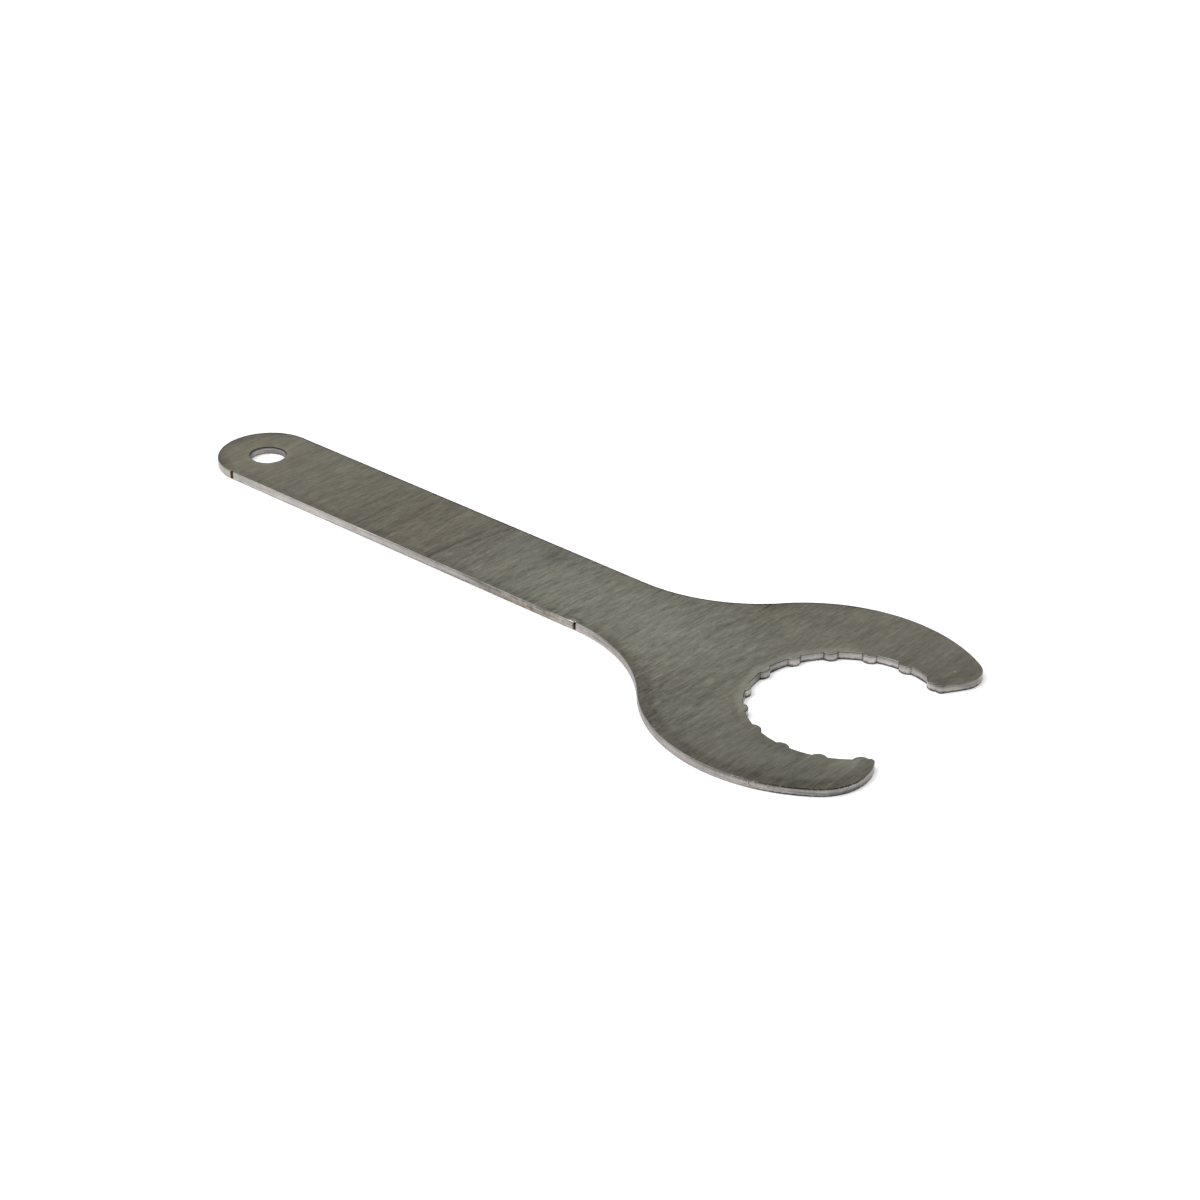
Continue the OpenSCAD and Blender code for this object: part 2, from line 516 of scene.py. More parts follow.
def makePlate(faceSteel, edgeSteel, burrSteel):
    outer, corners = joinPieces(plateOutline(plate))
    hole = joinPieces(holeOutline(plate))[0]
    print("outline points:", len(outer), len(hole), "corners:", len(corners))
    rough = bpy.data.objects.new("plateOutline", outlineMesh("plateOutline", [outer, hole], corners))
    bpy.context.scene.collection.objects.link(rough)
    modifier = rough.modifiers.new("Plate Skin", "NODES")
    modifier.node_group = skinTree()
    setInputs(modifier, {**skin, **burr, "Thickness": plateHigh.z - plateLow.z, "Face Steel": faceSteel,
                         "Edge Steel": edgeSteel, "Burr Steel": burrSteel})
    bpy.context.view_layer.update()
    depsgraph = bpy.context.evaluated_depsgraph_get()
    mesh = bpy.data.meshes.new_from_object(rough.evaluated_get(depsgraph))
    bpy.data.objects.remove(rough)
    body = bmesh.new()
    body.from_mesh(mesh)
    bmesh.ops.recalc_face_normals(body, faces=body.faces)
    openEdges = sum(1 for e in body.edges if len(e.link_faces) != 2)
    print("plate faces:", len(body.faces), "open edges:", openEdges)
    body.to_mesh(mesh)
    body.free()
    piece = bpy.data.objects.new("wrenchPlate", mesh)
    bpy.context.scene.collection.objects.link(piece)
    return piece


# The brushed faces, in millimetres. A patch is (x, y, reach along x, reach along y, lighter by, warmer by)
face = {
    "warmColour": (0.302, 0.276, 0.214),
    "coolColour": (0.290, 0.290, 0.241),
    "warmth": 0.45,
    "lightness": 0.90,
    "roughness": 0.44,
    "fineRoughness": 0.25,      # how much the fine grain and the hair lines change it
    "hairRoughness": 0.15,
    "heat": 0.5,                # how much of the heat marks shows
    "grainLean": 1.5,           # degrees, from straight across the handle
    "streakLean": 5.0,
    "mottleLean": 20.0,
    "mottleWarmth": 0.6,
    "grainSeed": 7.0,           # from one layer of grain to the next
    "grainBump": 0.0012 * mm,
    "fineBump": 1.5,            # the fine grain's share of it, beside the hair lines'
    "endFade": (-175, -100, 0.62, 1.0),     # how strong the grain is, from the hanging end on
    "armFade": (-30, -8, 1.0, 0.66),        # and from the neck to the arms
    "grain": [                  # lean, cycles per mm across and along, detail, depth
        ("grainLean", 2.6, 0.34, 2.0, 0.66),
        ("grainLean", 1.25, 0.13, 2.0, 0.60),
        ("grainLean", 0.46, 0.045, 2.0, 0.42),
        ("streakLean", 0.17, 0.020, 2.0, 0.46),
        ("mottleLean", 0.80, 0.60, 3.0, 0.36),
        ("mottleLean", 0.13, 0.11, 3.0, 0.16),
        ("mottleLean", 2.40, 1.70, 2.0, 0.40),
    ],
    "scratchLean": 3.0,
    "scratchSeed": 91.0,
    "scratchDetail": 1.0,
    "scratches": [              # cycles per mm across and along, noise where they start and are full, depth
        (1.70, 0.095, 0.12, 0.22, 0.15),
        (1.05, 0.070, 0.15, 0.25, 0.13),
    ],
    # darker rubs along the grain: x, y, half length, half width, lean, how deep
    "streaks": [
        (-113.2, -2, 20, 1.40, 4.5, 0.26),
        (-109.9, 4, 13, 0.90, 11.0, 0.16),
        (-138.3, -4.5, 9, 0.80, 0.5, 0.12),
        (-130.3, 0, 18, 2.40, 1.5, 0.08),
        (-152.5, 2, 12, 1.20, 2.0, 0.06),
        (-143.0, -3, 11, 0.80, 3.0, 0.06),
        (-41.0, -4, 19, 0.50, -0.5, 0.10),
        (-38.6, 2, 14, 0.40, 0.5, 0.09),
        (-48.6, -4, 14, 0.45, 2.0, 0.09),
        (-31.5, 4, 16, 0.50, 1.0, 0.07),
        (-56.0, 1, 11, 0.35, 1.5, 0.06),
        (-70.8, -6, 10, 0.40, 3.0, 0.09),
        (-64.2, -7, 8, 0.30, 2.0, 0.10),
    ],
    "patches": [
        (-185, 0, 30, 26, 0.04, 0.5),       # hanging end, rubbed warm
        (-150, 0, 24, 30, -0.04, 0.2),
        (-126, 0, 26, 40, -0.10, 0.35),
        (-72, -1, 46, 18, 0.19, -0.4),      # paler, greener stretch before the neck
        (-91, 8, 9, 6, -0.17, -0.5),        # bluish patch by the far edge
        (-60, -8, 9, 5, -0.10, 0.0),
        (-40, 0, 7, 12, -0.10, 0.0),
        (-42, 0, 26, 21, 0.15, -0.5),
        (-38, 21, 11, 10, -0.12, 0.3),      # dark by the far fillet
        (-28, 25, 7, 6, -0.12, 0.0),
        (-20, -30, 8, 7, -0.09, -0.2),
        (-10, -28, 8, 5, -0.06, -0.3),
        (2, 33, 34, 22, -0.04, 0.1),
        (13, 25, 13, 13, -0.20, 0.2),       # far tip
        (0, 34, 8, 6, 0.05, 0.0),
        (5, 31, 14, 10, -0.07, -0.1),
        (-4, 26, 17, 6, -0.04, -0.1),
        (4, -32, 34, 18, -0.10, -0.1),
        (9, -29, 14, 12, -0.07, -0.1),
        (-26, -24, 16, 14, -0.05, -0.3),
        (17, -18, 6, 6, 0.22, -0.4),        # near tip, rubbed pale
        (-68.2, -11.7, 1.4, 0.70, 0.42, 0.5),   # melted lip at the nick by the neck, and its smudges
        (-69.9, -11.0, 1.5, 0.6, -0.34, 0.0),
        (-67.9, -10.7, 1.9, 0.6, -0.40, 0.0),
        (-66.1, -11.4, 1.5, 1.1, -0.42, 0.0),
    ],
    # painted shade along the outer edge, where the face rolls off: depth where it starts and is full, how
    # much, and the limits of its stretch
    "rollShades": [
        (4.4, 2.2, 0.20, [("x", -46, -36), ("y", -9, -19)]),                    # near side of the head
        (11.0, 3.0, 0.10, [("x", -46, -36), ("y", -9, -19)]),
        (3.4, 0.4, 0.26, [("x", -66, -56), ("x", -36, -44), ("y", -8, -12)]),   # near fillet
        (4.0, 2.0, 0.15, [("x", -50, -38), ("x", -18, -30), ("y", 14, 24)]),    # far fillet
        (3.6, 1.6, 0.15, [("x", -182, -186)]),                                  # hanging end
        (3.4, 1.2, 0.12, [("y", -7, -9), ("x", -66, -72)]),                     # near edge of the handle
        (0.75, 0.30, 0.48, [("y", 7, 10), ("x", -14, -24)]),                    # thin line, far edge
        (0.75, 0.30, 0.25, [("x", -182, -190)]),
    ],
    "rollShadeWarmth": 0.6,
    # by distance from the jaw or the hole: where it starts, where it is full, how much
    "jawRollShade": (3.6, 1.8, 0.12),            # painted shade round the jaw on both arms, where the face rolls off
    "farArm": [("y", 17, 21), ("x", -9, 1)],
    "nearArm": [("y", -13, -18), ("x", 9, 1)],
    "jawRub": (2.6, 0.8, 0.34),             # rubbed pale at the jaw's back
    "jawBack": [("x", -9, -16)],
    "jawRubWarmth": -0.3,
    "holeRub": (2.2, 0.7, 0.12),            # pale round the hanging hole
    "holeLine": (0.40, 0.05, 0.30),         # and a thin dark line at its edge
    "roundEnd": [("x", 12, 17), ("y", -10, -14)],       # where the longer arm's round is the nearer edge
    "neckBlend": 3.0,                       # half of the stretch where the fillets give way to the head
    "pit": (10.1, 27.0, 0.22),              # x, y and radius of a pit near the far tip
    "pitShade": (1.6, 0.25),                # painted shade in it and a painted highlight on its lip: reach in radii, how strong
    "lipHighlight": (2.6, 0.9),
    "pitDepth": 30.0,
}


def millimetres(t):
    # the point in the plate's own frame, and its three coordinates
    place = t.scaled(t.add("ShaderNodeTexCoord").outputs["Object"], 1 / mm)
    parts = t.add("ShaderNodeSeparateXYZ", {0: place}).outputs
    return place, parts["X"], parts["Y"], parts["Z"]


def spot(t, place, x, y, reachX, reachY, firm=0.0):
    # 1 at the middle of a soft oval, 0 outside it; a firm one stays 1 for that share of its reach
    off = t.vector("MULTIPLY", t.vector("SUBTRACT", place, (x, y, 0)), (1 / reachX, 1 / reachY, 0))
    return t.ease(t.vector("LENGTH", off).outputs["Value"], 1.0, firm)


def radiusFrom(t, place, x, y):
    # distance in plan
    off = t.vector("MULTIPLY", t.vector("SUBTRACT", place, (x, y, 0)), (1, 1, 0))
    return t.vector("LENGTH", off).outputs["Value"]


def noiseAt(t, at, detail=3.0, roughness=0.5, middle=0.5):
    # noise that swings evenly about 0
    return t.minus(t.noise(at, detail, roughness), middle)


def lines(t, x, y, lean, across, lengthwise, detail, seed, roughness=0.55):
    # noise drawn out along the grain, which runs across the handle and leans a little
    c, s = math.cos(math.radians(lean)), math.sin(math.radians(lean))
    u = t.minus(t.times(x, c * across), t.times(y, s * across))
    v = t.plus(t.times(x, s * lengthwise), t.times(y, c * lengthwise))
    at = t.add("ShaderNodeCombineXYZ", {"X": u, "Y": v, "Z": seed})
    return noiseAt(t, at, detail, roughness)


def stretch(t, x, y, limits):
    # 1 inside all of the limits, which are (axis, where it starts, where it is full)
    return t.times(*(t.ease(x if axis == "x" else y, start, full) for axis, start, full in limits))


def blend(t, share, a, b):
    return t.plus(t.times(a, t.minus(1.0, share)), t.times(b, share))


def fromOuterEdge(t, p, place, x, y):
    # how deep a point lies inside the plate's outer edge, in millimetres
    half = plate["handleWidth"] / 2
    neck = plate["neckRadius"]
    head = plate["headDiameter"] / 2
    neckX = -plate["headBack"] - math.sqrt((head + neck) ** 2 - (half + neck) ** 2)
    touchX = -plate["headBack"] + (neckX + plate["headBack"]) * head / (head + neck)
    pastEnd = t.largest(t.minus(-plate["reach"], x), 0.0)
    sideY = t.math("SQRT", t.plus(t.times(pastEnd, pastEnd), t.times(y, y)))
    pastNeck = t.largest(t.minus(x, neckX), 0.0)
    toCentre = t.minus(half + neck, sideY)
    fromNeck = t.math("SQRT", t.plus(t.times(pastNeck, pastNeck), t.times(toCentre, toCentre)))
    necked = t.minus(fromNeck, neck)
    onHead = t.minus(head, radiusFrom(t, place, -plate["headBack"], 0))

    # past the round end's start, its own circle is the nearer edge
    roundR = plate["roundOuterRadius"]
    roundA = 180 + plate["longArmLugs"] * 360 / plate["cupNotches"] - plate["roundAngle"]
    roundAt = Vector((-plate["headBack"], 0)) + along(head - roundR, roundA)
    onRound = t.minus(roundR, radiusFrom(t, place, roundAt.x, roundAt.y))
    onHead = blend(t, stretch(t, x, y, p["roundEnd"]), onHead, t.math("MINIMUM", onHead, onRound))
    return blend(t, t.ease(x, touchX - p["neckBlend"], touchX + p["neckBlend"]), necked, onHead)


def streak(t, x, y, atX, atY, halfLength, halfWidth, lean, deep, fullShare=0.5):
    c, s = math.cos(math.radians(lean)), math.sin(math.radians(lean))
    offX, offY = t.minus(x, atX), t.minus(y, atY)
    across = t.minus(t.times(offX, c), t.times(offY, s))
    onLine = t.ease(t.math("ABSOLUTE", across), halfWidth, 0.0, 0.0, deep)
    return t.times(onLine, t.ease(t.math("ABSOLUTE", offY), halfLength, halfLength * fullShare))


def newMaterial(name):
    material = bpy.data.materials.new(name)
    material.use_nodes = True
    return material, material.node_tree.nodes["Principled BSDF"]


def brushedFace(p):
    material, shader = newMaterial("brushedFace")
    t = Tree(material.node_tree)
    place, x, y = millimetres(t)[:3]
    light, warm = p["lightness"], p["warmth"]
    for px, py, reachX, reachY, lighter, warmer in p["patches"]:
        here = spot(t, place, px, py, reachX, reachY)
        light = t.plus(t.times(here, lighter), light)
        warm = t.plus(t.times(here, warmer), warm)

    # grain of the brushing, from hair lines to broad streaks
    layers = [lines(t, x, y, p[lean], across, lengthwise, detail, p["grainSeed"] * i)
              for i, (lean, across, lengthwise, detail, deep) in enumerate(p["grain"])]
    grain = t.plus(0.0, *(t.times(value, row[-1]) for value, row in zip(layers, p["grain"])))
    fade = t.times(t.ease(x, *p["endFade"]), t.ease(x, *p["armFade"]))
    light = t.plus(light, t.times(grain, fade))

    # sparse dark hair lines of uneven length
    for across, lengthwise, start, full, deep in p["scratches"]:
        seed = p["scratchSeed"] + across
        thin = lines(t, x, y, p["scratchLean"], across, lengthwise, p["scratchDetail"], seed)
        light = t.minus(light, t.times(t.ease(thin, start, full, 0.0, deep), fade))
    hair, fine, mottle = layers[0], layers[1], layers[5]
    warm = t.plus(warm, t.times(mottle, p["mottleWarmth"]))
    for row in p["streaks"]:
        light = t.minus(light, streak(t, x, y, *row))

    # painted shade where the face rolls off towards the outer edge, darker and warmer there
    depth = fromOuterEdge(t, p, place, x, y)
    rolledShade = t.plus(0.0, *(t.times(t.ease(depth, start, full, 0.0, darker), stretch(t, x, y, limits))
                           for start, full, darker, limits in p["rollShades"]))
    light = t.minus(light, rolledShade)
    warm = t.plus(warm, t.times(rolledShade, p["rollShadeWarmth"]))

    # round the jaw, painted shade on both arms where the face rolls off, and rubbed pale at the back; round
    # the hanging hole pale too
    fromJaw = t.minus(radiusFrom(t, place, 0, 0), plate["jawDiameter"] / 2)
    onArms = t.largest(stretch(t, x, y, p["farArm"]), stretch(t, x, y, p["nearArm"]))
    start, full, darker = p["jawRollShade"]
    light = t.minus(light, t.times(t.ease(fromJaw, start, full, 0.0, darker), onArms))
    start, full, lighter = p["jawRub"]
    rubbed = t.times(stretch(t, x, y, p["jawBack"]), t.ease(fromJaw, start, full))
    light = t.plus(light, t.times(rubbed, lighter))
    warm = t.plus(warm, t.times(rubbed, p["jawRubWarmth"]))
    fromHole = t.minus(radiusFrom(t, place, -plate["reach"], 0), plate["hangHole"] / 2)
    start, full, lighter = p["holeRub"]
    light = t.plus(light, t.ease(fromHole, start, full, 0.0, lighter))
    start, full, darker = p["holeLine"]
    light = t.minus(light, t.ease(fromHole, start, full, 0.0, darker))

    # one small pit near the far tip, with painted shade in it and a painted highlight on its lip
    pitX, pitY, pitR = p["pit"]
    reach, darker = p["pitShade"]
    pit = spot(t, place, pitX, pitY, pitR * reach, pitR * reach)
    reach, lighter = p["lipHighlight"]
    litLip = t.times(spot(t, place, pitX, pitY, pitR * reach, pitR * reach), t.minus(1.0, pit))
    light = t.plus(light, t.times(litLip, lighter), t.times(pit, -darker))

    colour = t.mix(warm, (*p["coolColour"], 1), (*p["warmColour"], 1))
    colour = heatMarks(t, place, colour, p["heat"])
    t.feed(shader, "Base Color", t.scaled(colour, light))
    shader.inputs["Metallic"].default_value = 1.0
    sway = t.plus(t.times(fine, p["fineRoughness"]), t.times(hair, p["hairRoughness"]))
    t.feed(shader, "Roughness", t.plus(sway, p["roughness"]))
    height = t.plus(hair, t.times(fine, p["fineBump"]), t.times(pit, -p["pitDepth"]))
    t.feed(shader, "Normal", t.bump(1.0, p["grainBump"], height))
    print("brushed face:", len(material.node_tree.nodes), "nodes")
    return material


# Heat marks at the nicks and on the far tip: tone, x, y, reach along x, firmness, how strong
heat = {
    "straw": (0.47, 0.44, 0.35),
    "gold": (0.17, 0.125, 0.055),
    "brown": (0.035, 0.022, 0.010),
    "spread": 1.3,              # how many times farther they reach along y
    "marks": [
        ("straw", -179.5, -12.5, 1.6, 0.4, 0.62),
        ("straw", -181.1, -12.5, 0.8, 0.4, 0.6),
        ("straw", -70.0, -12.6, 5.0, 0.0, 0.30),
        ("straw", 13.0, 20.4, 2.6, 0.0, 0.40),
        ("gold", -180.55, -12.5, 0.66, 0.7, 0.95),
        ("brown", -180.36, -12.5, 0.50, 0.6, 1.0),
        ("gold", -67.70, -12.5, 0.50, 0.5, 0.6),
        ("brown", -67.35, -12.5, 0.45, 0.6, 1.0),
    ],
}


def heatMarks(t, place, colour, strength):
    for tone, x, y, reach, firm, much in heat["marks"]:
        near = spot(t, place, x, y, reach, reach * heat["spread"], firm)
        colour = t.mix(t.times(near, much * strength), colour, (*heat[tone], 1))
    return colour


# The cut wall round the outline. Heights are above the underside, and depths below the top face
edge = {
    "colour": (0.430, 0.402, 0.380),
    "cornerShadeColour": (0.105, 0.065, 0.050),
    "lineColour": (0.035, 0.030, 0.028),
    "tanColour": (0.40, 0.335, 0.265),
    "greyColour": (0.408, 0.400, 0.386),
    "roughness": 0.38,
    "dragRoughness": 0.3,       # how much the drag lines change it
    "cutBump": 0.006 * mm,
    "heat": 1.0,                # how much of the heat marks shows
    "drag": 0.36,               # upright drag lines
    "blotch": 0.50,
    "banding": 1.10,            # bands along the wall
    "cycles": {                 # of each noise, per mm along x, y and z
        "drag": (2.3, 2.3, 0.22),
        "blotch": (0.35, 0.35, 0.7),
        "banding": (0.07, 0.07, 1.5),
        "worn": (0.75, 0.75, 1.1),
        "line": (0.9, 0.9, 0.4),
        "burrBreak": (1.1, 1.1, 1.1),
        "drip": (1.9, 1.9, 0.15),
        "fleck": (2.2, 2.2, 2.2),
    },
    "worn": (-78, -13, 26, 8, 1.1),         # blotchy stretch: x, y, reaches, how strong
    "topShade": 0.76,           # how light it stays at the top
    "topShadeReach": (0.55, 0.03),          # shares of the thickness at which that starts and is full
    "corner": (0.15, 0.9, 0.0, 0.62),       # painted shade in the lugs' corners: nearness and strength at both ends
    "cleanCorner": (10.6, 19.3, 2.4),       # the far tip's last corner has hardly any of that shade
    "hollowShade": 0.13,        # between the lugs
    # duller stretches: x, y, reach along x, reach along y, how much darker
    "dull": [
        (-88, -12.5, 52, 18, 0.34),
        (-47, -20, 24, 18, 0.24),
        (-31, -31, 16, 14, 0.34),
        (-15, -38, 22, 10, 0.17),
        (13, -32, 19, 15, 0.46),
        (20, -22, 10, 10, 0.22),
        (15, 25, 14, 13, 0.37),
        (-22, -1, 9, 10, 0.40),
        (-14, 14, 8, 8, 0.22),
        (4, 14, 22, 16, 0.10),
        (-36, -26, 16, 14, 0.13),
        (-2, -37, 14, 10, 0.11),
        (-181, 2, 9, 9, 0.46),
        (-191, -5, 6, 8, 0.30),
    ],
    # tints: tone, x, y, reach along x, reach along y, heights where it starts and is full, how strong
    "tints": [
        ("tanColour", -84, -12.5, 20, 4, 1.25, 0.75, 0.85),
        ("tanColour", 4, -37, 7, 5, 1.25, 0.75, 0.4),
        ("greyColour", -6, 4, 30, 26, 2.3, 2.2, 0.9),
        ("greyColour", 16, -29, 12, 12, 2.3, 2.2, 0.8),
    ],
    "lineWander": 0.9,          # how far the low lines wander up and down
    # dark lines low on the wall: where, the height at which each starts and is full, how dark
    "lowLines": [
        ("handle", 0.36, 0.16, 0.30),
        ("jaw", 0.75, 0.24, 0.80),
        ("tips", 0.50, 0.30, 0.76),
        ("nearTip", 1.40, 0.40, 0.56),
    ],
    "lineSoft": 0.06,           # how far a top line takes to fade
    # where, the depth at which each starts, is full, and fades again, how dark
    "topLines": [
        ("jaw", 0.28, 0.14, 0.06, 0.50),
        ("jawBack", 0.34, 0.18, 0.06, 0.32),
        ("hole", 0.85, 0.20, 0.06, 0.92),
        ("holeSides", 2.40, 1.60, 0.00, 0.85),
        # on edges that face away, painted shade over the top edge, where its rounding would catch a
        # highlight
        ("awayEdgeShade", 0.30, 0.10, 0.00, 0.85),
    ],
    # burnt line under the burr and short dark runs below it: depth at its start, where it is full, how dark
    "burrLine": (0.48, 0.24, 0.90),
    "burrBreak": (-0.14, 0.0, 0.4, 1.0),    # noise where the line is faint and whole, how strong it is there
    "drips": (1.05, 0.45, 0.80),
    "dripNoise": (0.10, 0.18),
    "fleck": (3, -37.5, 11, 7, 0.80),       # dark flecks there: x, y, reaches, how dark
    "fleckNoise": (0.06, 0.16),
    # radii at which the walls of the jaw, its hollows and the hole start and are full
    "jawRadius": (24.5, 23.5),
    "hollowRadius": (21.6, 22.1),
    "holeRadius": (5.4, 5.0),
    "holeSides": [(-3.6, -3.0, 3.2), (3.0, 3.4, 2.2)],      # x and y from the hole's centre, reach
    "stretches": {              # axis, where it starts, where it is full
        "handle": [("x", -66, -72)],
        "hangingEnd": [("x", -184, -190)],
        "farEdges": [("y", 7, 10), ("x", -18, -26)],
        "jawBack": [("x", 2, -8)],
        "jawFront": [("y", -6, -12), ("x", 17, 14)],
        "tips": [("x", -4, 11)],
        "nearTip": [("x", 15, 19.5), ("y", -14, -20)],
        "burr": [("x", -20, 12), ("y", -19, -24)],
    },
}


def wallPlaces(t, p, place, x, y):
    # soft masks that name the stretches of the wall
    where = {name: stretch(t, x, y, limits) for name, limits in p["stretches"].items()}
    fromJaw = radiusFrom(t, place, 0, 0)
    where["jaw"] = t.ease(fromJaw, *p["jawRadius"])
    where["hollows"] = t.times(where["jaw"], t.ease(fromJaw, *p["hollowRadius"]))
    for name in ("jawBack", "jawFront"):
        where[name] = t.times(where["jaw"], where[name])
    where["hole"] = t.ease(radiusFrom(t, place, -plate["reach"], 0), *p["holeRadius"])
    sides = [spot(t, place, offX - plate["reach"], offY, reach, reach)
             for offX, offY, reach in p["holeSides"]]
    where["holeSides"] = t.times(where["hole"], t.largest(*sides))
    # edges that face away, where the top edge gets painted shade
    where["awayEdgeShade"] = t.largest(where["farEdges"], where["jawFront"], where["hangingEnd"])
    return where


def cutEdge(p):
    material, shader = newMaterial("cutEdge")
    t = Tree(material.node_tree)
    place, x, y, z = millimetres(t)
    thick = (plateHigh.z - plateLow.z) / mm
    below = t.minus(thick, z)
    where = wallPlaces(t, p, place, x, y)
    noise = {name: noiseAt(t, t.vector("MULTIPLY", place, cycles)) for name, cycles in p["cycles"].items()}

    # upright drag lines of the cut, over slower blotches and bands along the wall
    light = t.plus(1.0, *(t.times(noise[name], p[name]) for name in ("drag", "blotch", "banding")))
    wornX, wornY, reachX, reachY, much = p["worn"]
    light = t.plus(light, t.times(noise["worn"], spot(t, place, wornX, wornY, reachX, reachY), much))
    for px, py, reachX, reachY, darker in p["dull"]:
        light = t.minus(light, t.times(spot(t, place, px, py, reachX, reachY), darker))
    light = t.minus(light, t.times(where["hollows"], p["hollowShade"]))
    start, full = p["topShadeReach"]
    light = t.times(light, t.ease(below, thick * start, thick * full, 1.0, p["topShade"]))

    # dark lines along both edges, burnt under the burr, and painted shade over the top edge where it faces
    # away
    uneven = t.plus(z, t.times(noise["line"], p["lineWander"]))
    dark = [t.times(t.ease(uneven, start, full, 0.0, much), where[name])
            for name, start, full, much in p["lowLines"]]
    for name, start, full, fade, much in p["topLines"]:
        under = t.times(t.ease(below, start, full, 0.0, much), t.ease(below, fade - p["lineSoft"], fade))
        dark.append(t.times(under, where[name]))
    start, full, much = p["burrLine"]
    unbroken = t.ease(noise["burrBreak"], *p["burrBreak"])
    dark.append(t.times(t.ease(below, start, full, 0.0, much), unbroken, where["burr"]))
    start, full, much = p["drips"]
    runs = t.ease(noise["drip"], *p["dripNoise"])
    dark.append(t.times(t.ease(below, start, full, 0.0, much), runs, where["burr"]))
    fleckX, fleckY, reachX, reachY, much = p["fleck"]
    flecked = t.ease(noise["fleck"], *p["fleckNoise"])
    dark.append(t.times(flecked, spot(t, place, fleckX, fleckY, reachX, reachY), much))

    # painted shade in the creases at the lugs' corners, faint at the far tip's last one
    corner = t.add("ShaderNodeAttribute", attribute_name="corner").outputs["Fac"]
    cleanX, cleanY, reach = p["cleanCorner"]
    corner = t.times(corner, t.minus(1.0, spot(t, place, cleanX, cleanY, reach, reach)))
    colour = heatMarks(t, place, (*p["colour"], 1), p["heat"])
    for tone, px, py, reachX, reachY, start, full, much in p["tints"]:
        here = t.times(spot(t, place, px, py, reachX, reachY), t.ease(z, start, full, 0.0, much))
        colour = t.mix(here, colour, (*p[tone], 1))
    colour = t.mix(t.ease(corner, *p["corner"]), colour, (*p["cornerShadeColour"], 1))
    colour = t.mix(t.largest(*dark), colour, (*p["lineColour"], 1))
    t.feed(shader, "Base Color", t.scaled(colour, light))
    shader.inputs["Metallic"].default_value = 1.0
    t.feed(shader, "Roughness", t.plus(t.times(noise["drag"], p["dragRoughness"]), p["roughness"]))
    t.feed(shader, "Normal", t.bump(1.0, p["cutBump"], noise["drag"]))
    print("cut edge:", len(material.node_tree.nodes), "nodes")
    return material


# Burnt metal of the burr
burrLook = {
    "darkColour": (0.020, 0.017, 0.016),
    "brownColour": (0.06, 0.036, 0.022),
    "gloss": 0.1,
    "grit": (9.0, 4.0),         # cycles per mm, detail
    "gritColour": (0.4, 0.7),   # noise where it starts to turn brown and is all brown
    "gritRoughness": (0.3, 0.7, 0.5, 0.85),     # noise at both ends, roughness at both ends
    "gritBump": (0.8, 0.02 * mm),
}


def burntBurr(p):
    material, shader = newMaterial("burntBurr")
    t = Tree(material.node_tree)
    scale, detail = p["grit"]
    grit = t.noise(millimetres(t)[0], detail, scale=scale)
    colour = t.mix(t.ease(grit, *p["gritColour"]), (*p["darkColour"], 1), (*p["brownColour"], 1))
    t.feed(shader, "Base Color", colour)
    t.feed(shader, "Roughness", t.ease(grit, *p["gritRoughness"]))
    shader.inputs["Specular IOR Level"].default_value = p["gloss"]
    t.feed(shader, "Normal", t.bump(*p["gritBump"], grit))
    print("burnt burr:", len(material.node_tree.nodes), "nodes")
    return material


# Camera, floor and light, in metres and degrees; the lens and its sensor are in millimetres
studio = {
    "focal": 90.87,
    "sensor": 36.0,
    "clip": (0.05, 20.0),
    "azimuth": 40.492,
    "elevation": 29.70,
    "roll": 0.436,
    "target": (-0.072074, 0.001913, 0.0),
    "distance": 0.702,
    "floorSize": 6.0,
    "floorGap": 0.00002,
    "floorColour": (0.97, 0.97, 0.97),
    "floorRoughness": 0.9,
    "floorGlow": 0.10,          # keeps the shadows on it faint
    "roomLight": 0.42,          # walls of the room
    "boxLight": 2.2,            # soft box overhead
    "boxEdge": (0.80, 0.93),    # sine of the height at which it starts and is full
    "sideStrength": 1.5,        # lamp on the left
    "sideSpread": 42.0,
    "sideHeight": 50.0,
}


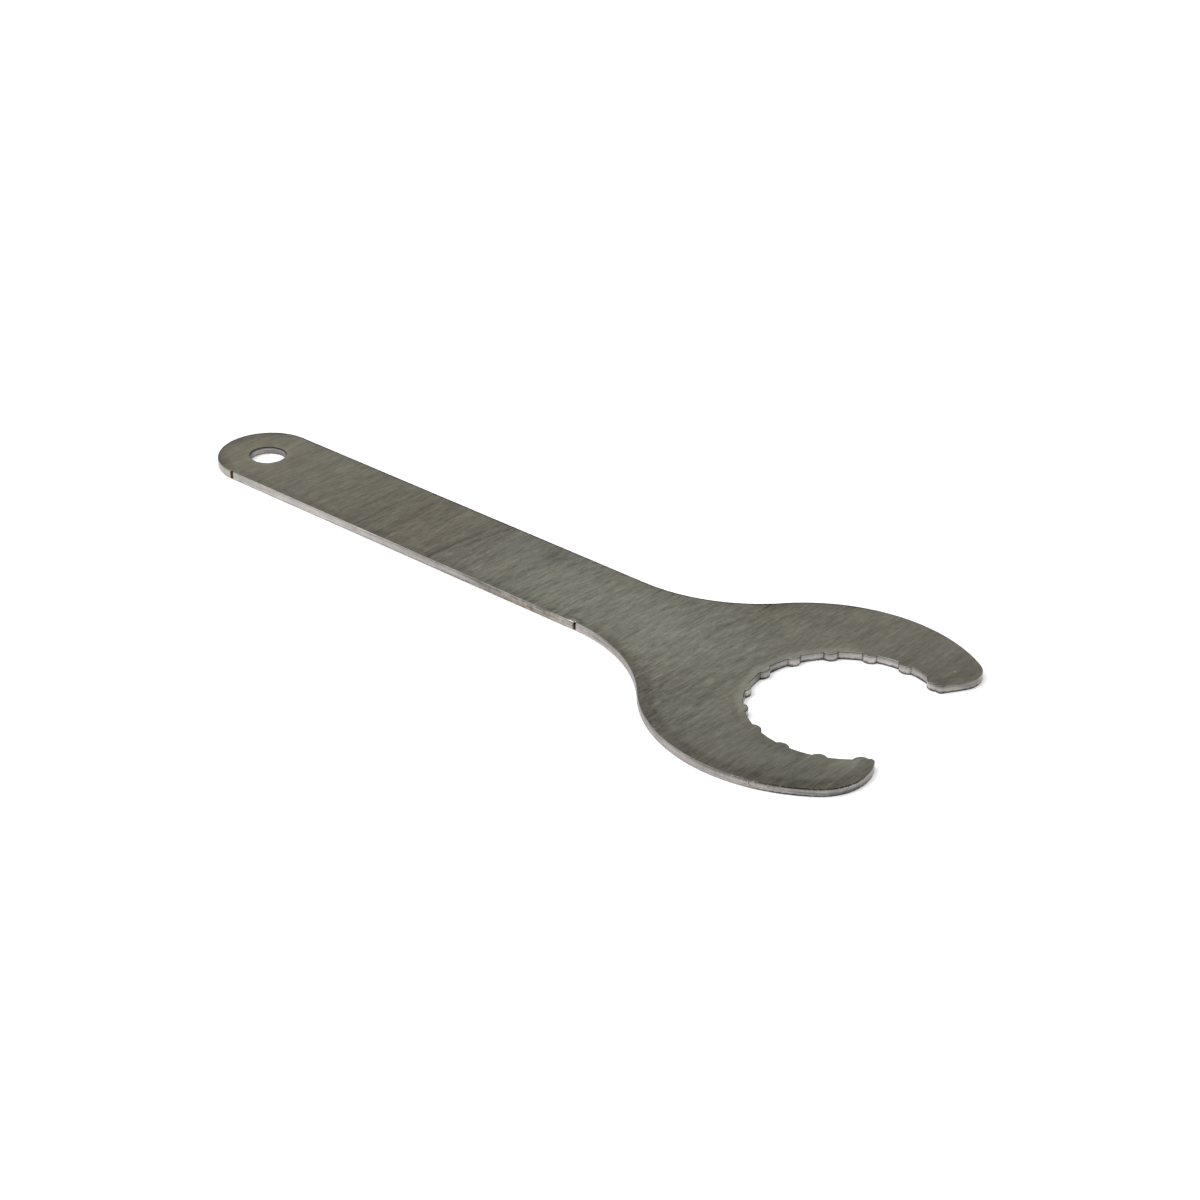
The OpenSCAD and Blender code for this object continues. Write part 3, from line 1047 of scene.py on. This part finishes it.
def makeCamera(s):
    a, e, r = (math.radians(s[k]) for k in ("azimuth", "elevation", "roll"))
    back = Vector((math.sin(a) * math.cos(e), -math.cos(a) * math.cos(e), math.sin(e)))
    right = Vector((0, 0, 1)).cross(back).normalized()
    up = back.cross(right)
    turnedRight = math.cos(r) * right + math.sin(r) * up
    turnedUp = math.cos(r) * up - math.sin(r) * right
    data = bpy.data.cameras.new("photoCamera")
    data.lens = s["focal"]
    data.sensor_width = s["sensor"]
    data.clip_start, data.clip_end = s["clip"]
    camera = bpy.data.objects.new("photoCamera", data)
    bpy.context.scene.collection.objects.link(camera)
    place = Matrix((turnedRight, turnedUp, back)).transposed().to_4x4()
    place.translation = Vector(s["target"]) + s["distance"] * back
    camera.matrix_world = place
    bpy.context.scene.camera = camera
    print("camera at", [round(c, 4) for c in camera.location])


def makeFloor(s):
    mesh = bpy.data.meshes.new("studioFloor")
    h = s["floorSize"] / 2
    z = plateLow.z - s["floorGap"]
    mesh.from_pydata([(-h, -h, z), (h, -h, z), (h, h, z), (-h, h, z)], [], [(0, 1, 2, 3)])
    floor = bpy.data.objects.new("studioFloor", mesh)
    bpy.context.scene.collection.objects.link(floor)
    material, shader = newMaterial("studioFloor")
    shader.inputs["Base Color"].default_value = (*s["floorColour"], 1)
    shader.inputs["Roughness"].default_value = s["floorRoughness"]
    shader.inputs["Specular IOR Level"].default_value = 0.0
    shader.inputs["Emission Color"].default_value = white
    shader.inputs["Emission Strength"].default_value = s["floorGlow"]
    mesh.materials.append(material)
    print("floor at", round(z, 5))


def makeLights(s):
    world = bpy.data.worlds.new("studioRoom")
    bpy.context.scene.world = world
    world.use_nodes = True
    t = Tree(world.node_tree)
    direction = t.add("ShaderNodeTexCoord").outputs["Generated"]
    upward = t.add("ShaderNodeSeparateXYZ", {0: direction}).outputs["Z"]
    background = world.node_tree.nodes["Background"]
    background.inputs["Color"].default_value = white
    t.feed(background, "Strength", t.ease(upward, *s["boxEdge"], s["roomLight"], s["boxLight"]))
    data = bpy.data.lights.new("sideLamp", "SUN")
    data.energy = s["sideStrength"]
    data.angle = math.radians(s["sideSpread"])
    lamp = bpy.data.objects.new("sideLamp", data)
    a, h = math.radians(s["azimuth"]), math.radians(s["sideHeight"])
    toLamp = Vector((-math.cos(a) * math.cos(h), -math.sin(a) * math.cos(h), math.sin(h)))
    lamp.rotation_euler = toLamp.to_track_quat("Z", "Y").to_euler()
    bpy.context.scene.collection.objects.link(lamp)
    bpy.context.scene.view_settings.view_transform = "Standard"
    print("lights: room, soft box and side lamp")


makeCamera(studio)
makeFloor(studio)
makeLights(studio)
faceSteel = brushedFace(face)
edgeSteel = cutEdge(edge)
burrSteel = burntBurr(burrLook)
wrench = makePlate(faceSteel, edgeSteel, burrSteel)
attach(wrench, "root")
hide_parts(plateNode)
